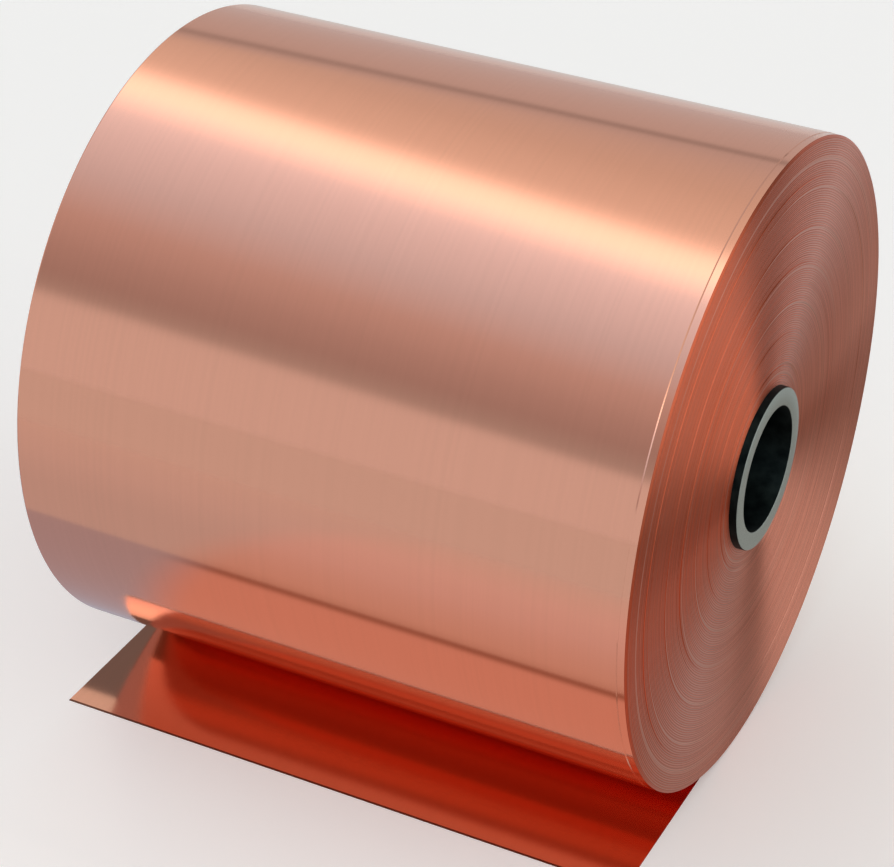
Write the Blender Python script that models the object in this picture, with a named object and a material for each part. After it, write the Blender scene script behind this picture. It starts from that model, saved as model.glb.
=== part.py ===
"""A roll of bare copper foil wound on a steel core tube, with its free end paid out.

Metres, +Z up. The roll lies on its side with its axis along X, and +X is the axis's right-hand end.
The origin is on the surface that the roll lies on, straight below the middle of the axis. The
free end leaves the underside of the roll and lies on the same surface towards -Y.
"""

import math

import bmesh
import bpy
from mathutils import Matrix, Vector

# Core tube
TUBE_BORE_RADIUS = 0.0127
TUBE_OUTER_RADIUS = 0.0165
TUBE_STAND_OUT = 0.0015  # past each end of the winding
TUBE_EDGE_BREAK = 0.0005
TUBE_SIDES = 64

# Strip of tape that holds the foil's first edge on the tube
START_TAPE_WIDTH = 0.020  # round the tube
START_TAPE_THICKNESS = 0.0002
START_TAPE_END_MARGIN = 0.004  # the tape stops this far inside each end of the winding
START_TAPE_ANGLE = math.radians(120.0)  # place of its middle round the tube, from straight down
START_TAPE_STEPS = 12

# Winding
FOIL_WIDTH = 0.127
FOIL_THICKNESS = 0.0001
ROLL_RADIUS = 0.066
INNER_WRAPS_BUILD = 0.019  # how thick the inner group of wraps is, in the radial direction
OUTER_WRAPS_BUILD = 0.0012
MIDDLE_WRAPS_SHIFT = 0.0004  # each group of wraps ran a little to one side as it was wound
OUTER_WRAPS_SHIFT = -0.0015
WINDING_SIDES = 96

# Free end, measured back along the foil from the line where it leaves the roll
TAIL_NEAR_LENGTH = 0.022
TAIL_MIDDLE_LENGTH = 0.0165
TAIL_END_LENGTH = 0.0165

# Space left between pieces that touch, so that no two solids meet
PIECE_GAP = 0.0003

AXIS_POINT = Vector((0.0, 0.0, ROLL_RADIUS))


def remove_scene_objects():
    for thing in list(bpy.data.objects):
        bpy.data.objects.remove(thing, do_unlink=True)


def metal(name, colour, roughness, metallic):
    """A Principled material with one colour."""
    material = bpy.data.materials.new(name)
    material.use_nodes = True
    shader = material.node_tree.nodes["Principled BSDF"]
    shader.inputs["Base Color"].default_value = (*colour, 1.0)
    shader.inputs["Roughness"].default_value = roughness
    shader.inputs["Metallic"].default_value = metallic
    return material


def add_object(name, bm, material, parent):
    """Turns a bmesh into a named object whose mesh lies about its parent's origin."""
    bmesh.ops.recalc_face_normals(bm, faces=bm.faces)
    mesh = bpy.data.meshes.new(name)
    bm.to_mesh(mesh)
    bm.free()
    mesh.shade_smooth()
    mesh.set_sharp_from_angle(angle=math.radians(30.0))
    mesh.materials.append(material)
    thing = bpy.data.objects.new(name, mesh)
    bpy.context.scene.collection.objects.link(thing)
    thing.parent = parent
    return thing


def add_empty(name, location, parent=None):
    empty = bpy.data.objects.new(name, None)
    bpy.context.scene.collection.objects.link(empty)
    empty.parent = parent
    empty.location = location
    return empty


def circumradius(flat_radius, sides):
    """Distance to a corner of a regular outline whose flats are at flat_radius."""
    return flat_radius / math.cos(math.pi / sides)


def turned_ring(profile, sides):
    """Spins a closed profile of (x, flat radius) points round the X axis, one flat straight down."""
    bm = bmesh.new()
    first_corner = Matrix.Rotation(math.pi / sides, 4, "X")
    points = [Vector((x, 0.0, -circumradius(radius, sides))) for x, radius in profile]
    verts = [bm.verts.new(first_corner @ point) for point in points]
    edges = [bm.edges.new((verts[i - 1], verts[i])) for i in range(len(verts))]
    bmesh.ops.spin(
        bm, geom=verts + edges, cent=(0.0, 0.0, 0.0), axis=(1.0, 0.0, 0.0),
        angle=2.0 * math.pi, steps=sides, use_merge=True,
    )
    bmesh.ops.remove_doubles(bm, verts=bm.verts, dist=1e-6)
    return bm


def core_tube(parent, material):
    half_length = FOIL_WIDTH / 2.0 + TUBE_STAND_OUT
    inner, outer, edge = TUBE_BORE_RADIUS, TUBE_OUTER_RADIUS, TUBE_EDGE_BREAK
    half_profile = [
        (half_length - edge, inner),
        (half_length, inner + edge),
        (half_length, outer - edge),
        (half_length - edge, outer),
    ]
    profile = half_profile + [(-x, radius) for x, radius in reversed(half_profile)]
    return add_object("core_tube", turned_ring(profile, TUBE_SIDES), material, parent)


def tape_inner_radius():
    return TUBE_OUTER_RADIUS + PIECE_GAP


def tape_outer_radius():
    return tape_inner_radius() + START_TAPE_THICKNESS


def core_start_tape(parent, material):
    half_length = FOIL_WIDTH / 2.0 - START_TAPE_END_MARGIN
    span = START_TAPE_WIDTH / tape_outer_radius()
    facet_stretch = 1.0 / math.cos(span / START_TAPE_STEPS / 2.0)
    bm = bmesh.new()
    corners = [
        (-half_length, tape_inner_radius()),
        (half_length, tape_inner_radius()),
        (half_length, tape_outer_radius()),
        (-half_length, tape_outer_radius()),
    ]
    first_edge = Matrix.Rotation(START_TAPE_ANGLE - span / 2.0, 4, "X")
    points = [Vector((x, 0.0, -radius * facet_stretch)) for x, radius in corners]
    face = bm.faces.new([bm.verts.new(first_edge @ point) for point in points])
    bmesh.ops.spin(
        bm, geom=[face], cent=(0.0, 0.0, 0.0), axis=(1.0, 0.0, 0.0),
        angle=span, steps=START_TAPE_STEPS,
    )
    return add_object("core_start_tape", bm, material, parent)


def wraps(name, inner_radius, outer_radius, shift, parent, material):
    """One group of wraps: a ring as wide as the foil, run to one side by shift."""
    low, high = shift - FOIL_WIDTH / 2.0, shift + FOIL_WIDTH / 2.0
    profile = [(low, inner_radius), (high, inner_radius), (high, outer_radius), (low, outer_radius)]
    return add_object(name, turned_ring(profile, WINDING_SIDES), material, parent)


def tail_start():
    """How far in front of the line where the foil leaves the roll the first flat piece can begin."""
    roll_corner = circumradius(ROLL_RADIUS, WINDING_SIDES)
    height_to_axis = ROLL_RADIUS - FOIL_THICKNESS
    return math.sqrt((roll_corner + PIECE_GAP) ** 2 - height_to_axis**2)


def tail_piece(name, near_edge, far_edge, parent, material):
    """A flat piece of the free end, between two distances from the line where it leaves the roll."""
    bm = bmesh.new()
    bmesh.ops.create_cube(bm, size=1.0)
    bmesh.ops.scale(bm, verts=bm.verts, vec=(FOIL_WIDTH, far_edge - near_edge, FOIL_THICKNESS))
    middle = Vector((OUTER_WRAPS_SHIFT, -(near_edge + far_edge) / 2.0, FOIL_THICKNESS / 2.0))
    offset = middle - parent.matrix_world.translation
    bmesh.ops.translate(bm, verts=bm.verts, vec=offset)
    return add_object(name, bm, material, parent)


def main():
    remove_scene_objects()
    copper = metal("bare_copper_foil", (0.80, 0.36, 0.22), 0.22, 1.0)
    steel = metal("dark_steel_tube", (0.10, 0.13, 0.13), 0.45, 1.0)
    tape = metal("cloth_start_tape", (0.55, 0.50, 0.40), 0.80, 0.0)

    # The roll, which holds everything that turns together with the tube
    roll_axis = add_empty("roll_axis", AXIS_POINT)
    core_tube(roll_axis, steel)
    core_start_tape(roll_axis, tape)
    winding_inner = tape_outer_radius() + PIECE_GAP
    inner_wraps_outer = winding_inner + INNER_WRAPS_BUILD
    outer_wraps_inner = ROLL_RADIUS - OUTER_WRAPS_BUILD
    wraps("foil_inner_wraps", winding_inner, inner_wraps_outer, 0.0, roll_axis, copper)
    wraps(
        "foil_middle_wraps", inner_wraps_outer + PIECE_GAP, outer_wraps_inner - PIECE_GAP,
        MIDDLE_WRAPS_SHIFT, roll_axis, copper,
    )
    wraps(
        "foil_outer_wraps", outer_wraps_inner, ROLL_RADIUS, OUTER_WRAPS_SHIFT, roll_axis, copper,
    )

    # The free end: it turns about the roll's axis as foil is paid out, and bends at two lines
    unwind_axis = add_empty("unwind_axis", AXIS_POINT)
    first_bend = TAIL_NEAR_LENGTH
    second_bend = first_bend + TAIL_MIDDLE_LENGTH
    cut_edge = second_bend + TAIL_END_LENGTH
    bend_height = FOIL_THICKNESS / 2.0
    near_bend_axis = add_empty(
        "near_bend_axis", Vector((0.0, -first_bend, bend_height)) - AXIS_POINT, unwind_axis
    )
    far_bend_axis = add_empty(
        "far_bend_axis", Vector((0.0, -TAIL_MIDDLE_LENGTH, 0.0)), near_bend_axis
    )
    bpy.context.view_layer.update()
    half_gap = PIECE_GAP / 2.0
    tail_piece("foil_tail_near", tail_start(), first_bend - half_gap, unwind_axis, copper)
    tail_piece(
        "foil_tail_middle", first_bend + half_gap, second_bend - half_gap, near_bend_axis, copper
    )
    tail_piece("foil_tail_end", second_bend + half_gap, cut_edge, far_bend_axis, copper)


main()
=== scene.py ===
import math
import random

import bmesh
import bpy
from mathutils import Matrix, Vector, noise


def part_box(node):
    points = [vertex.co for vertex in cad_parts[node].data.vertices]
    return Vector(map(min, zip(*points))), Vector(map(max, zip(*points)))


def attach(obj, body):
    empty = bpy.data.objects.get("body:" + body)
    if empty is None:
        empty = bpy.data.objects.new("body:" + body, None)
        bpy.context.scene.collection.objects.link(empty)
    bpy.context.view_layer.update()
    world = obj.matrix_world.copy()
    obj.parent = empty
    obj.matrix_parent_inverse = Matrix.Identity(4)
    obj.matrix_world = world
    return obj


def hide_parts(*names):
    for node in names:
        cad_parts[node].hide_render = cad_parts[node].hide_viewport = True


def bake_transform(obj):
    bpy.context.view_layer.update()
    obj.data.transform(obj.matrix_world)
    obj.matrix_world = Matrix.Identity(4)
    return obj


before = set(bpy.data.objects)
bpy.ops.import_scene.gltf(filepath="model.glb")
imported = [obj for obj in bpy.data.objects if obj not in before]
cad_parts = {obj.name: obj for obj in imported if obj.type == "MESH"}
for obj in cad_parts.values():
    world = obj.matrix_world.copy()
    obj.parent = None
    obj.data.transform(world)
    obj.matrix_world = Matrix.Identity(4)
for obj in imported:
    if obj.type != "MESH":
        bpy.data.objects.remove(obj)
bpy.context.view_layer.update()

# --- Core tube -------------------------------------------------------------------------------
# A short length of drawn steel tube with its black mill scale left on, sawn to length and faced
# square in a lathe. The foil is wound straight onto it, and it stands a little proud at each end.
tube_low, tube_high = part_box("core_tube")
TUBE_END = tube_high.x
TUBE_RADIUS = (tube_high.z - tube_low.z) / 2.0
TUBE_BORE_RADIUS = 0.0127
TUBE_EDGE_BREAK = 0.0004
TUBE_EDGE_KNEE = 0.3  # where the broken edge turns, as a share of its size
TUBE_SIDES = 160
SCALE_PATCHES = 350.0  # per metre, so a patch of mill scale is about 3 mm across
TURNED_RINGS = 45000.0  # per metre, so the marks of the facing cut are 0.02 mm apart
AXIS = Vector((0.0, 0.0, (tube_low.z + tube_high.z) / 2.0))


def linear(sheet_hex):
    """An sRGB hex colour as the linear RGBA of a shader socket."""
    parts = [int(sheet_hex[i : i + 2], 16) / 255.0 for i in (0, 2, 4)]
    return (*[p / 12.92 if p <= 0.04045 else ((p + 0.055) / 1.055) ** 2.4 for p in parts], 1.0)


def node(tree, kind, inputs=(), stops=(), **settings):
    """Adds a node and returns its outputs.

    Inputs, by place or name, are sockets or values. Stops are (position, hex colour) of a ramp.
    """
    made = tree.nodes.new("ShaderNode" + kind)
    for name, value in settings.items():
        setattr(made, name, value)
    for place, value in inputs.items() if isinstance(inputs, dict) else enumerate(inputs):
        if isinstance(value, bpy.types.NodeSocket):
            tree.links.new(value, made.inputs[place])
        else:
            made.inputs[place].default_value = value
    for number, (position, sheet_hex) in enumerate(stops):
        elements = made.color_ramp.elements
        stop = elements[number] if number < 2 else elements.new(position)
        stop.position = position
        stop.color = linear(sheet_hex)
    return made.outputs


def new_metal(name, roughness, anisotropy=0.0):
    """A bare-metal material: its node tree and its Principled shader come with it."""
    material = bpy.data.materials.new(name)
    material.use_nodes = True
    shader = material.node_tree.nodes["Principled BSDF"]
    shader.inputs["Metallic"].default_value = 1.0
    shader.inputs["Roughness"].default_value = roughness
    shader.inputs["Anisotropic"].default_value = anisotropy
    return material, material.node_tree, shader


def away_from_axis(tree):
    """The unit vector from the roll's axis out to each point of the surface, and its distance."""
    place = node(tree, "TexCoord")["Object"]
    flat = node(tree, "VectorMath", [place, (0.0, 1.0, 1.0)], operation="MULTIPLY")[0]
    spoke = node(tree, "VectorMath", [flat, AXIS], operation="SUBTRACT")[0]
    distance = node(tree, "VectorMath", [spoke], operation="LENGTH")["Value"]
    return node(tree, "VectorMath", [spoke], operation="NORMALIZE")[0], distance


def turned_mesh(profile, sides):
    """A closed profile of (x, radius) points, spun a full turn round the roll's axis."""
    bm = bmesh.new()
    verts = [bm.verts.new((x, 0.0, AXIS.z + radius)) for x, radius in profile]
    edges = [bm.edges.new((verts[i - 1], verts[i])) for i in range(len(verts))]
    bmesh.ops.spin(
        bm, geom=verts + edges, cent=AXIS, axis=(1.0, 0.0, 0.0),
        angle=2.0 * math.pi, steps=sides, use_merge=True,
    )
    bmesh.ops.remove_doubles(bm, verts=bm.verts, dist=1e-7)
    bmesh.ops.recalc_face_normals(bm, faces=bm.faces)
    return bm


def add_piece(name, bm, materials, sharp_degrees=35.0):
    """Links a finished bmesh as a smooth-shaded object at the origin."""
    mesh = bpy.data.meshes.new(name)
    bm.to_mesh(mesh)
    bm.free()
    mesh.shade_smooth()
    mesh.set_sharp_from_angle(angle=math.radians(sharp_degrees))
    for material in materials:
        mesh.materials.append(material)
    made = bpy.data.objects.new(name, mesh)
    bpy.context.scene.collection.objects.link(made)
    return made


# Hot-rolled steel with its mill scale on: blue-black and slightly rough, so it shows only as a
# dark wall. The faced end is bare grey steel with fine turned rings that catch the light.
steel, tree, shader = new_metal("mill_scaled_steel", 0.5)
across, radius = away_from_axis(tree)
place = node(tree, "TexCoord")["Object"]
facing = node(tree, "SeparateXYZ", [node(tree, "NewGeometry")["Normal"]])["X"]
facing = node(tree, "Math", [facing], operation="ABSOLUTE")[0]
faced = node(tree, "MapRange", {"Value": facing, "From Min": 0.5, "From Max": 0.7})[0]
patches = node(tree, "TexNoise", {"Vector": place, "Scale": SCALE_PATCHES, "Detail": 6.0})[0]
scale_colour = node(tree, "ValToRGB", [patches], stops=[(0.3, "0a1012"), (0.7, "232c2c")])[0]
turning = node(tree, "Math", [radius, TURNED_RINGS], operation="MULTIPLY")[0]
rings = node(tree, "TexNoise", {"W": turning, "Scale": 1.0}, noise_dimensions="1D")[0]
faced_colour = node(tree, "ValToRGB", [rings], stops=[(0.3, "9aaaa6"), (0.7, "ccd8d4")])[0]
colour = node(tree, "Mix", {0: faced, 6: scale_colour, 7: faced_colour}, data_type="RGBA")[2]
tree.links.new(colour, shader.inputs["Base Color"])

edge = TUBE_EDGE_BREAK
knee = TUBE_EDGE_KNEE * edge
tube_end = [
    (TUBE_END - edge, TUBE_BORE_RADIUS),
    (TUBE_END - knee, TUBE_BORE_RADIUS + knee),
    (TUBE_END, TUBE_BORE_RADIUS + edge),
    (TUBE_END, TUBE_RADIUS - edge),
    (TUBE_END - knee, TUBE_RADIUS - knee),
    (TUBE_END - edge, TUBE_RADIUS),
]
tube_outline = tube_end + [(-x, r) for x, r in reversed(tube_end)]
tube = add_piece("core_tube_steel", turned_mesh(tube_outline, TUBE_SIDES), [steel])
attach(tube, "roll")
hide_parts("core_tube")

# --- Start tape ------------------------------------------------------------------------------
# A strip of woven cotton tape, gummed on one side. It is pressed down along the tube, over the
# foil's first edge, and every wrap then covers it.
THREAD_SPACING = 0.0005
WAVE_TO_SPACING = 0.314  # a wave texture of this scale repeats once in a metre

# Unbleached cotton: dull and matt, with the light and dark of its threads.
cloth = bpy.data.materials.new("woven_cotton_tape")
cloth.use_nodes = True
tree = cloth.node_tree
shader = tree.nodes["Principled BSDF"]
shader.inputs["Roughness"].default_value = 0.85
place = node(tree, "TexCoord")["Object"]
threads = node(
    tree, "TexWave",
    {"Vector": place, "Scale": WAVE_TO_SPACING / THREAD_SPACING, "Distortion": 1.5},
)[0]
tape_colour = node(tree, "ValToRGB", [threads], stops=[(0.2, "a59877"), (0.8, "cdc2a4")])[0]
tree.links.new(tape_colour, shader.inputs["Base Color"])
tape_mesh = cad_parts["core_start_tape"].data
tape_mesh.materials.clear()
tape_mesh.materials.append(cloth)

# --- Wound foil ------------------------------------------------------------------------------
# Hundreds of wraps of 0.1 mm copper, slit to width and wound under tension. Their cut edges make
# the end faces: fine concentric ridges, where wraps ran a hair to one side or the other. Single
# wraps are too fine to show, so each ridge stands for four or five of them.
ROLL_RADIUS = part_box("foil_outer_wraps")[1].y
GROUP_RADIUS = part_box("foil_inner_wraps")[1].y
GROUP_BLEND = 0.012  # a group of wraps takes this much radius to drift to its own place
LAST_WRAPS = 0.0001
LAST_WRAPS_SLOPE = 0.00022
RIM_ROUND = 0.0005
UNDER_FIRST_WRAP = 0.00001
RIDGE_PITCH = 0.00045
RIDGE_DEPTH = 0.00006
RIDGE_UNEVENNESS = 0.3  # how far a ridge's top may sink, as a share of its depth
FIRST_INSET = 0.00008  # how far inside the group's end its first ridges are
SHIFT_CHANCE = 0.22  # of a ridge where the wraps moved sideways
LARGEST_INSET = 0.00025
FACE_SIDES = 192
ROLLED_STEPS = 36
SIDE_REACH = 0.00006  # faces this close to a group's outside are its rolled side
END_NORMAL = 0.98  # unless they face along the axis by more than this, as slit edges do
DENT_DEPTH = 0.00002
DENTS = 60.0  # per metre, so a dent is some 15 mm across
EDGE_BANDS = 7500.0  # per metre of radius, so brightness changes from one wrap to the next
ROLLING_LINES = (1500.0, 9.0, 9.0)  # per metre: close set along the roll, long round it
random.seed(7)

# Slit edges of copper foil: each edge is a sharp burr that leans over the next wrap, so light
# smears out along the spokes. Light that bounces between the edges is painted into the colour:
# flanks that lean outward get a deeper orange, flanks that lean inward a paler one.
slit_edges, tree, shader = new_metal("slit_copper_edges", 0.36, anisotropy=1.0)
across, radius = away_from_axis(tree)
tree.links.new(across, shader.inputs["Tangent"])
normal = node(tree, "NewGeometry")["Normal"]
lean = node(tree, "VectorMath", [normal, across], operation="DOT_PRODUCT")["Value"]
leaning = node(tree, "MapRange", {"Value": lean, "From Min": -0.12, "From Max": 0.12})[0]
# painted bounce light: deeper orange on flanks leaning out, paler on flanks leaning in
edge_and_painted_bounce_colour = node(tree, "ValToRGB", [leaning], stops=[(0.0, "f2a58e"), (1.0, "e87654")])[0]
wraps_out = node(tree, "Math", [radius, EDGE_BANDS], operation="MULTIPLY")[0]
bands = node(
    tree, "TexNoise", {"W": wraps_out, "Scale": 1.0, "Detail": 5.0}, noise_dimensions="1D"
)[0]
dimming = node(
    tree, "MapRange",
    {"Value": bands, "From Min": 0.3, "From Max": 0.7, "To Min": 0.52, "To Max": 1.12},
)[0]
shown = node(tree, "VectorMath", {0: edge_and_painted_bounce_colour, "Scale": dimming}, operation="SCALE")[0]
tree.links.new(shown, shader.inputs["Base Color"])

# Cold-rolled copper, bright finished: a mirror that smears a little across the rolling lines
# that run round the roll, and is never quite even from one line to the next.
rolled_foil, tree, shader = new_metal("rolled_copper_foil", 0.11, anisotropy=0.75)
along_axis = node(tree, "CombineXYZ", [1.0, 0.0, 0.0])[0]
tree.links.new(along_axis, shader.inputs["Tangent"])
place = node(tree, "TexCoord")["Object"]
stretched = node(tree, "VectorMath", [place, ROLLING_LINES], operation="MULTIPLY")[0]
lines = node(tree, "TexNoise", {"Vector": stretched, "Scale": 1.0, "Detail": 5.0})[0]
line_colour = node(
    tree, "ValToRGB", [lines], stops=[(0.3, "edae96"), (0.5, "efaf97"), (0.7, "f0b098")]
)[0]
tree.links.new(line_colour, shader.inputs["Base Color"])


def ridged_end(inner, outer):
    """(inset, radius) points of one end face, from the inner radius out."""
    ridges = max(1, round((outer - inner) / RIDGE_PITCH))
    step = (outer - inner) / ridges
    points, drift = [], FIRST_INSET
    for number in range(ridges):
        if random.random() < SHIFT_CHANCE:
            drift = random.uniform(0.0, LARGEST_INSET)
        crest = random.uniform(0.0, RIDGE_UNEVENNESS) * RIDGE_DEPTH
        points.append((drift + RIDGE_DEPTH, inner + step * number))
        points.append((drift + crest, inner + step * (number + 0.5)))
    points.append((drift + RIDGE_DEPTH, outer))
    return points


def add_wraps(name, cad_node, inner, outer, ends, start=None):
    """One group of wraps between two radii, with the (inset, radius) points of its two ends.

    It starts level with the last edges of the group inside it, and gives back its own last edges.
    """
    low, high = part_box(cad_node)
    right = [(high.x - inset, radius) for inset, radius in ends[0]]
    left = [(low.x + inset, radius) for inset, radius in ends[1]]
    if start:
        step_right = max(0.0, right[0][0] - start[0])
        step_left = max(0.0, start[1] - left[0][0])
        fade = [max(0.0, 1.0 - (radius - inner) / GROUP_BLEND) ** 2 for x, radius in right]
        right = [(x - step_right * share, radius) for (x, radius), share in zip(right, fade)]
        left = [(x + step_left * share, radius) for (x, radius), share in zip(left, fade)]
    width = right[-1][0] - left[-1][0]
    side = [(right[-1][0] - width * i / ROLLED_STEPS, outer) for i in range(1, ROLLED_STEPS)]
    bm = turned_mesh(right + side + left[::-1], FACE_SIDES)
    for face in bm.faces:
        centre = face.calc_center_median() - AXIS
        on_the_side = math.hypot(centre.y, centre.z) > outer - SIDE_REACH
        if on_the_side and abs(face.normal.x) < END_NORMAL:
            face.material_index = 1
    for vert in bm.verts:
        spoke = Vector((0.0, vert.co.y, vert.co.z - AXIS.z))
        if spoke.length > outer - 1e-6:
            dent = 0.5 + 0.5 * noise.noise(vert.co * DENTS)
            vert.co -= spoke.normalized() * DENT_DEPTH * dent
    made = add_piece(name, bm, [slit_edges, rolled_foil], sharp_degrees=12.0)
    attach(made, "roll")
    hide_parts(cad_node)
    return right[-1][0], left[-1][0]


winding_start = TUBE_RADIUS + UNDER_FIRST_WRAP
ends = (ridged_end(winding_start, GROUP_RADIUS), ridged_end(winding_start, GROUP_RADIUS))
level = add_wraps("foil_inner_winding", "foil_inner_wraps", winding_start, GROUP_RADIUS, ends)
under_last = ROLL_RADIUS - LAST_WRAPS
rim = [(RIM_ROUND, under_last)]
last_ridge = under_last - RIM_ROUND
ends = (
    ridged_end(GROUP_RADIUS, last_ridge) + rim, ridged_end(GROUP_RADIUS, last_ridge) + rim,
)
add_wraps("foil_middle_winding", "foil_middle_wraps", GROUP_RADIUS, under_last, ends, level)
sloped = [(0.0, under_last), (LAST_WRAPS_SLOPE, ROLL_RADIUS)]
add_wraps("foil_outer_winding", "foil_outer_wraps", under_last, ROLL_RADIUS, (sloped, sloped))

# --- Free end --------------------------------------------------------------------------------
# The last foil to be wound, pulled off the bottom of the roll and laid flat. Its upper side is
# the bright inner side of the strip, so it mirrors the underside of the roll.
tail_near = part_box("foil_tail_near")
tail_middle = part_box("foil_tail_middle")
tail_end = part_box("foil_tail_end")
THICKNESS = tail_near[1].z
NEAR_BEND = (tail_near[0].y + tail_middle[1].y) / 2.0
FAR_BEND = (tail_middle[0].y + tail_end[1].y) / 2.0
SEAM = (NEAR_BEND + FAR_BEND) / 2.0
TANGENT_LINE = -math.sqrt(ROLL_RADIUS**2 - (ROLL_RADIUS - THICKNESS) ** 2)
SHEET_STEPS = 40
SHEARED_WIDTH = 0.0005
SHEAR_LINE = tail_end[0].y + SHEARED_WIDTH

# Sheared copper: the shear drags the edge over as it cuts the foil off, which leaves it dull.
# Its dark colour is painted shade along the bent-over edge, on a narrow strip of the top too.
sheared_and_shaded_edge, tree, shader = new_metal("sheared_copper_edge_painted_shade", 0.4)
shader.inputs["Base Color"].default_value = linear("815545")


def add_sheet(name, start, end, cad_nodes):
    """A thin flat sheet between two distances in front of the roll."""
    bm = bmesh.new()
    bmesh.ops.create_cube(bm, size=1.0)
    width = tail_near[1].x - tail_near[0].x
    bmesh.ops.scale(bm, verts=bm.verts, vec=(width, start - end, THICKNESS))
    centre = ((tail_near[0].x + tail_near[1].x) / 2.0, (start + end) / 2.0, THICKNESS / 2.0)
    bmesh.ops.translate(bm, verts=bm.verts, vec=centre)
    cuts = [start + (end - start) * number / SHEET_STEPS for number in range(1, SHEET_STEPS)]
    for y in cuts + [SHEAR_LINE]:
        geometry = bm.verts[:] + bm.edges[:] + bm.faces[:]
        bmesh.ops.bisect_plane(bm, geom=geometry, plane_co=(0.0, y, 0.0), plane_no=(0.0, 1.0, 0.0))
    # the strip past the shear line takes the dark edge colour, which is painted shade
    for face in bm.faces:
        if face.calc_center_median().y < SHEAR_LINE:
            face.material_index = 1
    bmesh.ops.recalc_face_normals(bm, faces=bm.faces)
    made = add_piece(name, bm, [rolled_foil, sheared_and_shaded_edge])
    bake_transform(made)
    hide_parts(*cad_nodes)


add_sheet(
    "foil_free_end_root", TANGENT_LINE, SEAM, ["foil_tail_near", "foil_tail_middle"],
)
add_sheet(
    "foil_free_end_tip", SEAM, tail_end[0].y, ["foil_tail_end"],
)

# --- Bench top -------------------------------------------------------------------------------
# A wide board faced with plain white laminate, matt enough to show no reflection of its own. It
# lies level under the roll, and is lifted a little towards white where the camera looks at it.
BENCH_HALF_WIDTH = 3.0
BENCH_GLOW = 0.22
bm = bmesh.new()
bmesh.ops.create_grid(bm, x_segments=1, y_segments=1, size=BENCH_HALF_WIDTH)
white_laminate = bpy.data.materials.new("white_laminate")
white_laminate.use_nodes = True
tree = white_laminate.node_tree
shader = tree.nodes["Principled BSDF"]
shader.inputs["Base Color"].default_value = linear("f1f1f0")
shader.inputs["Roughness"].default_value = 0.7
shader.inputs["Specular IOR Level"].default_value = 0.2
to_camera = node(tree, "LightPath")["Is Camera Ray"]
glow = node(tree, "Math", [to_camera, BENCH_GLOW], operation="MULTIPLY")[0]
tree.links.new(glow, shader.inputs["Emission Strength"])
bench_top = add_piece("bench_top", bm, [white_laminate])

# --- Studio light ----------------------------------------------------------------------------
# A pale room: a lit band of wall round the horizon, and over it a big soft ceiling panel that is
# brightest along a strip which crosses above the roll at an angle.
world = bpy.data.worlds.new("studio")
world.use_nodes = True
bpy.context.scene.world = world
sky = world.node_tree
sky.nodes.clear()
direction = node(sky, "TexCoord")["Generated"]
axes = node(sky, "SeparateXYZ", [direction])
elevation = node(sky, "Math", [axes["Z"]], operation="ARCSINE")[0]
toward_front = node(sky, "Math", [axes["Y"], -1.0], operation="MULTIPLY")[0]
azimuth = node(sky, "Math", [axes["X"], toward_front], operation="ARCTAN2")[0]

# The ceiling panel: its colour by distance from the strip, in ceiling heights from the roll. It
# is rosy in front, cool next to the strip and warm past it.
STRIP_START = -0.333
STRIP_SLOPE = -1.14
CEILING_PEAK = 2.0
CEILING_NEAR, CEILING_FAR = -2.5, 2.5
LOWEST_RISE = 0.02  # keeps the ceiling's distance finite at the horizon
CEILING = [
    (-2.0, "7e7e7e"), (-1.5, "7b7575"), (-1.1, "847d7d"), (-0.75, "928b8b"),
    (-0.45, "9ca5b0"), (-0.22, "aeb8c4"), (-0.12, "bac5d1"), (-0.05, "e7e7e7"),
    (0.0, "f8f3e8"), (0.06, "ebe7dd"), (0.11, "bfbcb3"), (0.16, "adaaa2"),
    (0.40, "9e9b94"), (0.80, "909090"), (1.80, "848484"),
]
rise = node(sky, "Math", [axes["Z"], LOWEST_RISE], operation="MAXIMUM")[0]
ceiling_x = node(sky, "Math", [axes["X"], rise], operation="DIVIDE")[0]
ceiling_y = node(sky, "Math", [axes["Y"], rise], operation="DIVIDE")[0]
over_line = node(
    sky, "Math", [ceiling_x, -STRIP_SLOPE, ceiling_y], operation="MULTIPLY_ADD"
)[0]
strip_scale = math.hypot(1.0, STRIP_SLOPE)
gap = node(sky, "MapRange", {
    "Value": over_line, "From Min": STRIP_START + CEILING_NEAR * strip_scale,
    "From Max": STRIP_START + CEILING_FAR * strip_scale,
})[0]
ceiling_span = CEILING_FAR - CEILING_NEAR
ceiling_stops = [((away - CEILING_NEAR) / ceiling_span, sheet_hex) for away, sheet_hex in CEILING]
ceiling_ramp = node(sky, "ValToRGB", [gap], stops=ceiling_stops)[0]
ceiling = node(
    sky, "VectorMath", {0: ceiling_ramp, "Scale": CEILING_PEAK}, operation="SCALE"
)[0]

# The lit wall: brighter and lower in front, lower still to the right, and tall behind.
WALL_BACK, WALL_FRONT = 0.56, 0.70
WALL_TOP_LEFT, WALL_TOP_RIGHT = math.radians(24.5), math.radians(8.5)
WALL_TOP_BACK = math.radians(31.0)
WALL_EDGE = math.radians(2.0)
front_share = node(
    sky, "MapRange", {"Value": toward_front, "From Min": -0.5, "From Max": 0.5},
    interpolation_type="SMOOTHSTEP",
)[0]
wall_level = node(
    sky, "MapRange", {"Value": front_share, "To Min": WALL_BACK, "To Max": WALL_FRONT},
    interpolation_type="SMOOTHSTEP",
)[0]
front_top = node(sky, "MapRange", {
    "Value": axes["X"], "From Min": -0.6, "From Max": 0.2,
    "To Min": WALL_TOP_LEFT, "To Max": WALL_TOP_RIGHT,
})[0]
wall_top = node(
    sky, "Mix", {0: front_share, 2: WALL_TOP_BACK, 3: front_top}, data_type="FLOAT"
)[0]
above_wall = node(sky, "Math", [elevation, wall_top], operation="SUBTRACT")[0]
over_wall = node(
    sky, "MapRange", {"Value": above_wall, "From Min": -WALL_EDGE, "From Max": WALL_EDGE},
    interpolation_type="SMOOTHSTEP",
)[0]


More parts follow.
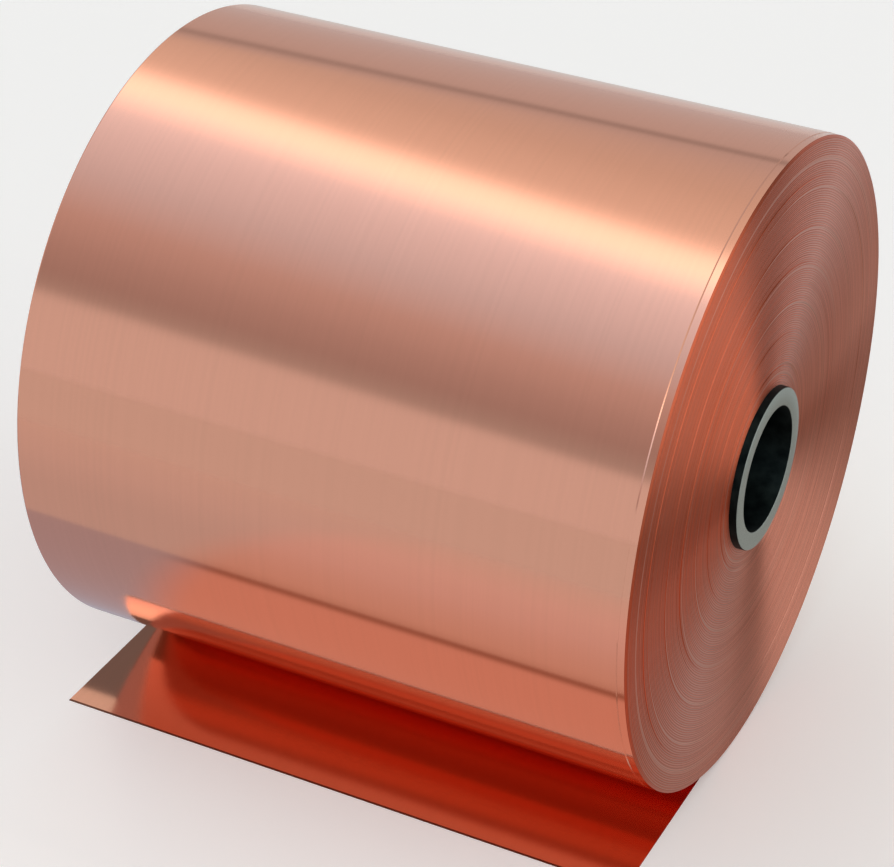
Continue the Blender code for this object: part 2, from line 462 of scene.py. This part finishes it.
def window(places, half_sizes, edge, brightness):
    """Light of a soft-edged window, with azimuths and elevations in degrees."""
    light = brightness
    for angle, place, half in zip((azimuth, elevation), places, half_sizes):
        off = node(sky, "Math", [angle, math.radians(place)], operation="SUBTRACT")[0]
        off = node(sky, "Math", [off, math.pi, -math.pi], operation="WRAP")[0]
        off = node(sky, "Math", [off], operation="ABSOLUTE")[0]
        outside, inside = math.radians(half + edge), math.radians(half - edge)
        share = node(
            sky, "MapRange", {"Value": off, "From Min": outside, "From Max": inside},
            interpolation_type="SMOOTHSTEP",
        )[0]
        light = node(sky, "Math", [share, light], operation="MULTIPLY")[0]
    return light


# One bright window to the right, and two places where the wall is in shade
for lit in (
    window((102.0, 12.0), (22.0, 20.0), 8.0, 1.1),
    window((142.0, 5.0), (12.0, 30.0), 6.0, -0.42),
    window((180.0, 27.0), (60.0, 1.4), 1.2, -0.22),
):
    wall_level = node(sky, "Math", [wall_level, lit], operation="ADD")[0]
room = node(sky, "Mix", {0: over_wall, 6: wall_level, 7: ceiling}, data_type="RGBA")[2]
light = node(sky, "Background", {"Color": room})[0]
backdrop = node(sky, "Background", {"Color": linear("fcfcfc")})[0]
to_camera = node(sky, "LightPath")["Is Camera Ray"]
shown = node(sky, "MixShader", [to_camera, light, backdrop])[0]
node(sky, "OutputWorld", [shown])
bpy.context.scene.view_settings.view_transform = "Standard"
bpy.context.scene.cycles.glossy_bounces = 12

# --- Painted reflections ---------------------------------------------------------------------
# Thin glowing panels that lie on the bench round the roll. Only mirrors see them: they are painted
# reflections, which give the foil and the wound face something to reflect, bright or in shade.
GLOW_PANEL_THICKNESS = 0.0003
FADE_START = -0.067  # where a panel's left side colour begins to give way to its own
GLOW_PANEL_FADE = 0.018


def add_mirror_only_glow(name, low, high, colours, side=None, height=0.0):
    """A painted reflection: a panel that glows for mirrors only, from a low to a high corner,
    with ramps of colour from its near edge to its far.
    """
    mirror_glow_paint = bpy.data.materials.new(name)
    mirror_glow_paint.use_nodes = True
    tree = mirror_glow_paint.node_tree
    tree.nodes.clear()
    place = node(tree, "SeparateXYZ", [node(tree, "TexCoord")["Object"]])
    reach = {"Value": place["Y"], "From Min": low[1], "From Max": high[1]}
    share = node(tree, "MapRange", reach)[0]
    colour = node(tree, "ValToRGB", [share], stops=colours)[0]
    if side:
        side_colour = node(tree, "ValToRGB", [share], stops=side)[0]
        reach = {"Value": place["X"], "From Min": FADE_START, "From Max": FADE_START + GLOW_PANEL_FADE}
        inside = node(tree, "MapRange", reach, interpolation_type="SMOOTHSTEP")[0]
        colour = node(tree, "Mix", {0: inside, 6: side_colour, 7: colour}, data_type="RGBA")[2]
    # the panel glows with this colour: a painted reflection, not a lit card
    glow = node(tree, "Emission", {"Color": colour})[0]
    node(tree, "OutputMaterial", [glow])
    thickness = height + GLOW_PANEL_THICKNESS
    bm = bmesh.new()
    bmesh.ops.create_cube(bm, size=1.0)
    bmesh.ops.scale(bm, verts=bm.verts, vec=(high[0] - low[0], high[1] - low[1], thickness))
    middle = ((low[0] + high[0]) / 2.0, (low[1] + high[1]) / 2.0, thickness / 2.0)
    bmesh.ops.translate(bm, verts=bm.verts, vec=middle)
    glow_panel = add_piece(name, bm, [mirror_glow_paint])
    glow_panel.visible_camera = False
    glow_panel.visible_diffuse = False
    glow_panel.visible_shadow = False


# In front, painted reflections of the floor: pale and rosy far out, then copper-coloured up to
# the free end as if lit off the roll, with a dark line near its far edge, and painted cool shade
# on the left
SHADE = [(0.0, "adafbc"), (1.0, "adafbc")]
add_mirror_only_glow(
    "front_painted_reflection", (-0.30, -0.26), (0.30, -0.0962),
    [(0.0, "d3d0ce"), (0.25, "d7cecb"), (0.52, "dacac8"), (0.73, "d6c2bf"), (0.96, "ceb1a6"),
     (1.0, "c4a497")],
    side=[(0.0, "d3d0ce"), (0.5, "cecbcb"), (0.8, "c5c4c5")],
)
add_mirror_only_glow(
    "copper_painted_reflection", (-0.0652, -0.096), (0.30, -0.0555),
    [(0.0, "aa8173"), (0.06, "8e6150"), (0.16, "d4a495"), (1.0, "d4a08e")],
    side=SHADE,
)
add_mirror_only_glow("left_painted_shade", (-0.30, -0.096), (-0.0654, 0.10), SHADE)

# To the right, painted reflections for the wound face: warm greys, and painted shade further out
DARK = [(0.0, "635248"), (1.0, "635248")]
add_mirror_only_glow(
    "grey_painted_reflection", (0.0665, -0.15), (0.16, 0.135),
    [(0.0, "a79991"), (0.45, "a79991"), (0.55, "b5b1af"), (0.68, "ada49e"), (0.79, "a79991"),
     (0.87, "8e8077"), (1.0, "8e8077")],
)
add_mirror_only_glow("pale_painted_reflection", (0.0665, 0.1353), (0.16, 0.30), [(0.0, "bfbfbf"), (1.0, "cbcbcb")])
add_mirror_only_glow("dark_painted_shade", (0.1603, -0.20), (0.41, 0.045), DARK)
add_mirror_only_glow("dark_back_painted_shade", (0.175, 0.0453), (0.27, 0.17), DARK)
add_mirror_only_glow("far_painted_reflection", (0.1603, 0.1703), (0.60, 0.90), [(0.0, "a79991"), (1.0, "a79991")])

# A low dark block at the roll's left end that glows for mirrors only: painted shade in what the
# foil beside it reflects
add_mirror_only_glow(
    "left_end_painted_shade", (-0.089, -0.028), (-0.069, 0.066), [(0.0, "737373"), (1.0, "696969")],
    height=0.020,
)

# --- Camera ----------------------------------------------------------------------------------
# A long lens that looks down on the roll from the front, a little from its right-hand end. It is
# aimed above the free end, so that the roll fills the frame.
CAMERA_AZIMUTH = math.radians(26.24)
CAMERA_ELEVATION = math.radians(31.88)
CAMERA_ROLL = math.radians(1.1)
CAMERA_DISTANCE = 0.5109
CAMERA_AIM = Vector((0.0151, -0.0406, 0.0817))
LENS_MM = 110.0
back = Vector((
    math.sin(CAMERA_AZIMUTH) * math.cos(CAMERA_ELEVATION),
    -math.cos(CAMERA_AZIMUTH) * math.cos(CAMERA_ELEVATION),
    math.sin(CAMERA_ELEVATION),
))
level_right = Vector((0.0, 0.0, 1.0)).cross(back).normalized()
level_up = back.cross(level_right)
right = math.cos(CAMERA_ROLL) * level_right + math.sin(CAMERA_ROLL) * level_up
up = back.cross(right)
camera_data = bpy.data.cameras.new("camera")
camera_data.lens = LENS_MM
camera_data.clip_start = 0.01
camera_data.clip_end = 20.0
camera = bpy.data.objects.new("camera", camera_data)
bpy.context.scene.collection.objects.link(camera)
turned = Matrix((right, up, back)).transposed().to_4x4()
camera.matrix_world = Matrix.Translation(CAMERA_AIM + back * CAMERA_DISTANCE) @ turned
bpy.context.scene.camera = camera
